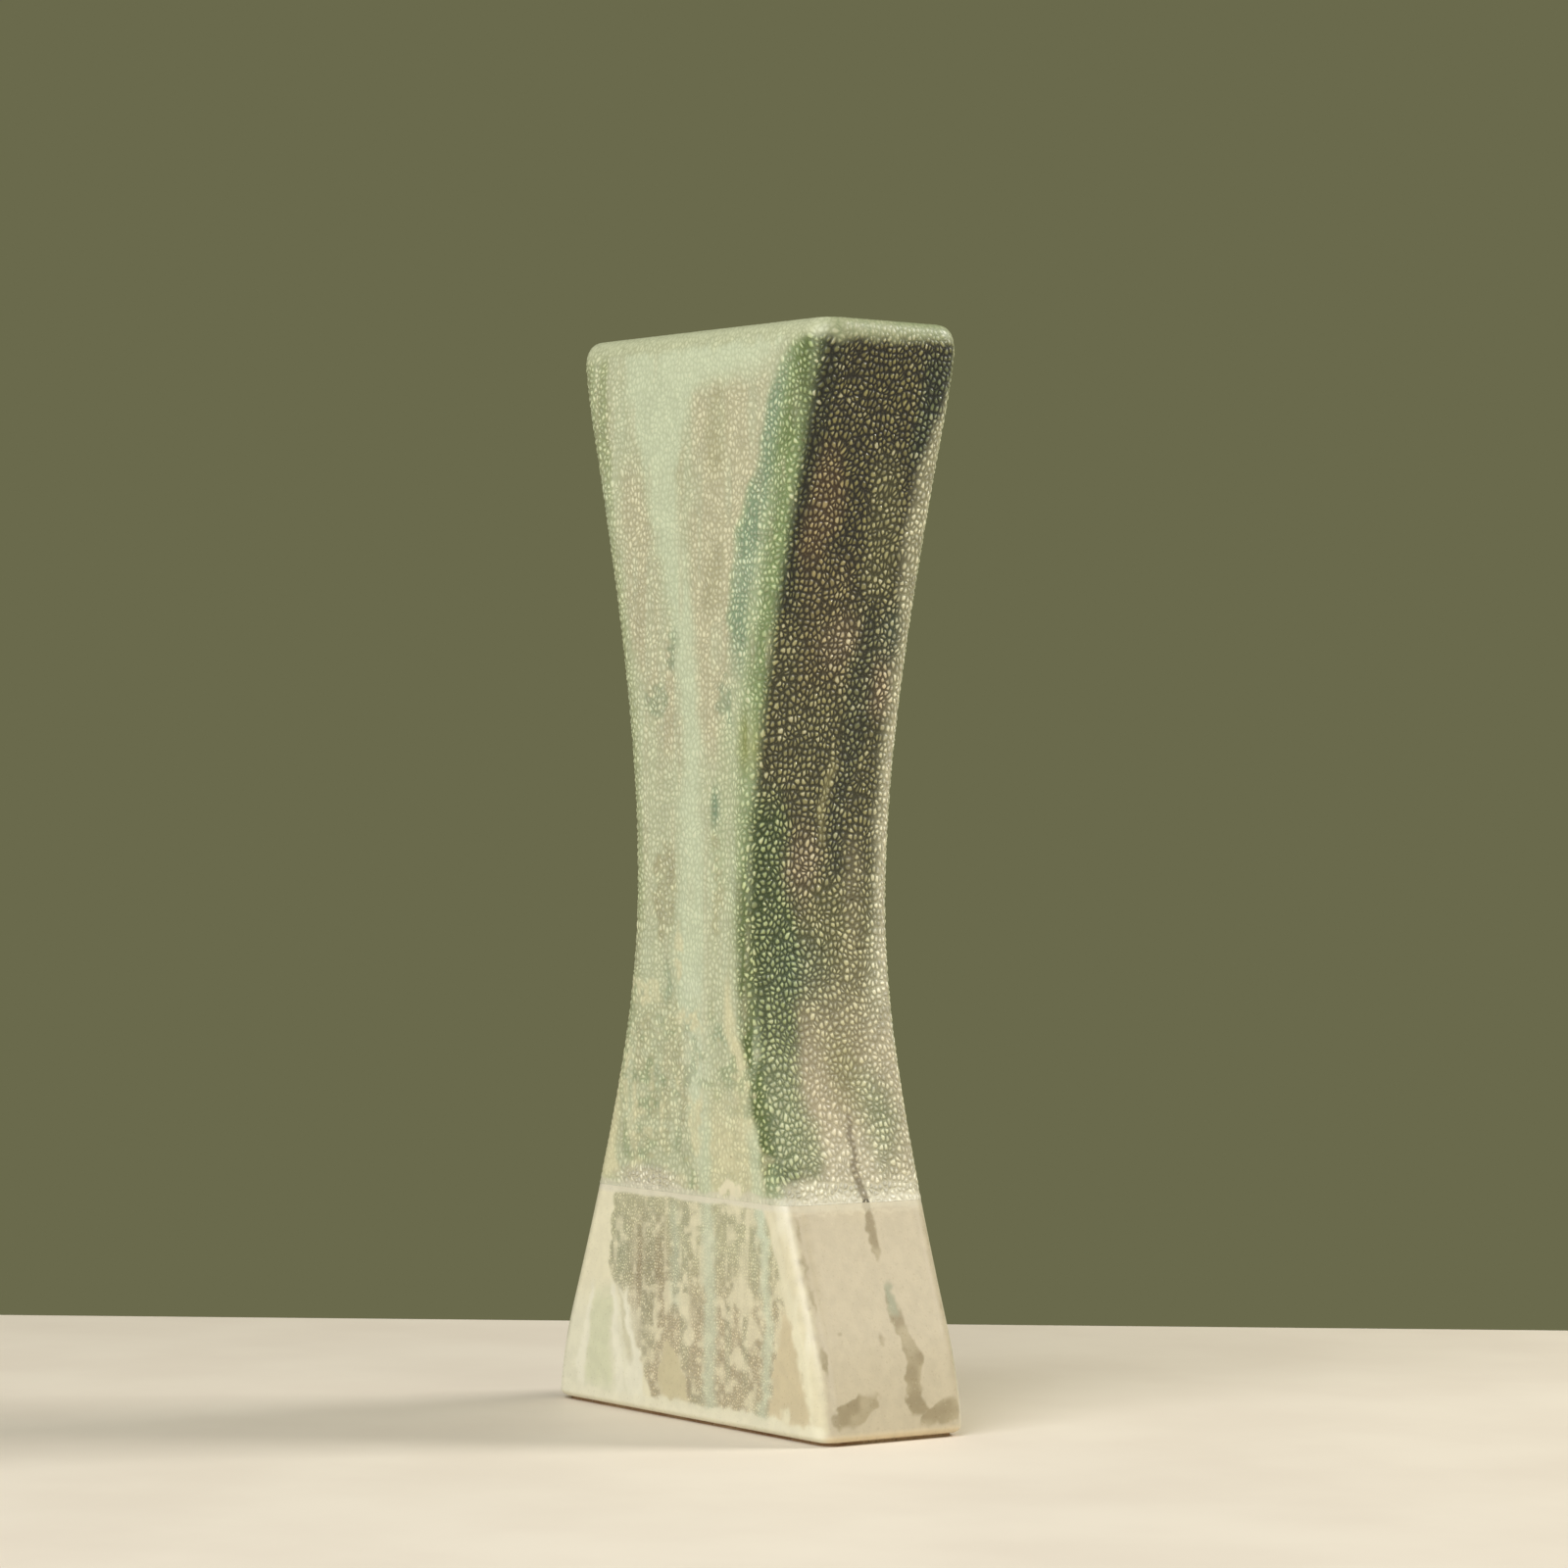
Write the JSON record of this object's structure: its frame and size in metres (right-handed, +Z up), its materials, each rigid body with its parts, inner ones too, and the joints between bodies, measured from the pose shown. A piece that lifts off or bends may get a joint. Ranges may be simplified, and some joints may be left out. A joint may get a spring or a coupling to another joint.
{
  "type": "stoneware vase",
  "caption": "Tall slab-built stoneware vase, a flattened hourglass of constant depth with a beaded glaze above a smooth glossy foot zone.",
  "frame": {"origin": "middle of the underside of the foot, on the surface the vase stands on", "axes": "+Z up through the mouth, X along the wide faces, Y front to back through the narrow depth"},
  "size_m": [0.1284, 0.0494, 0.3],
  "materials": {
    "stoneware_clay": "matte",
    "liner_glaze": "gloss",
    "cream_base_glaze": "gloss",
    "celadon_bead_glaze": "satin"
  },
  "bodies": {
    "root": {"base_slab": "stoneware_clay", "front_slab": "stoneware_clay", "right_side_slab": "stoneware_clay", "back_slab": "stoneware_clay", "left_side_slab": "stoneware_clay", "floor_seam_coil": "stoneware_clay", "front_right_seam_coil": "stoneware_clay", "back_right_seam_coil": "stoneware_clay", "back_left_seam_coil": "stoneware_clay", "front_left_seam_coil": "stoneware_clay", "liner_glaze": "liner_glaze", "base_glaze": "cream_base_glaze", "beaded_glaze": "celadon_bead_glaze"}
  },
  "joints": []
}
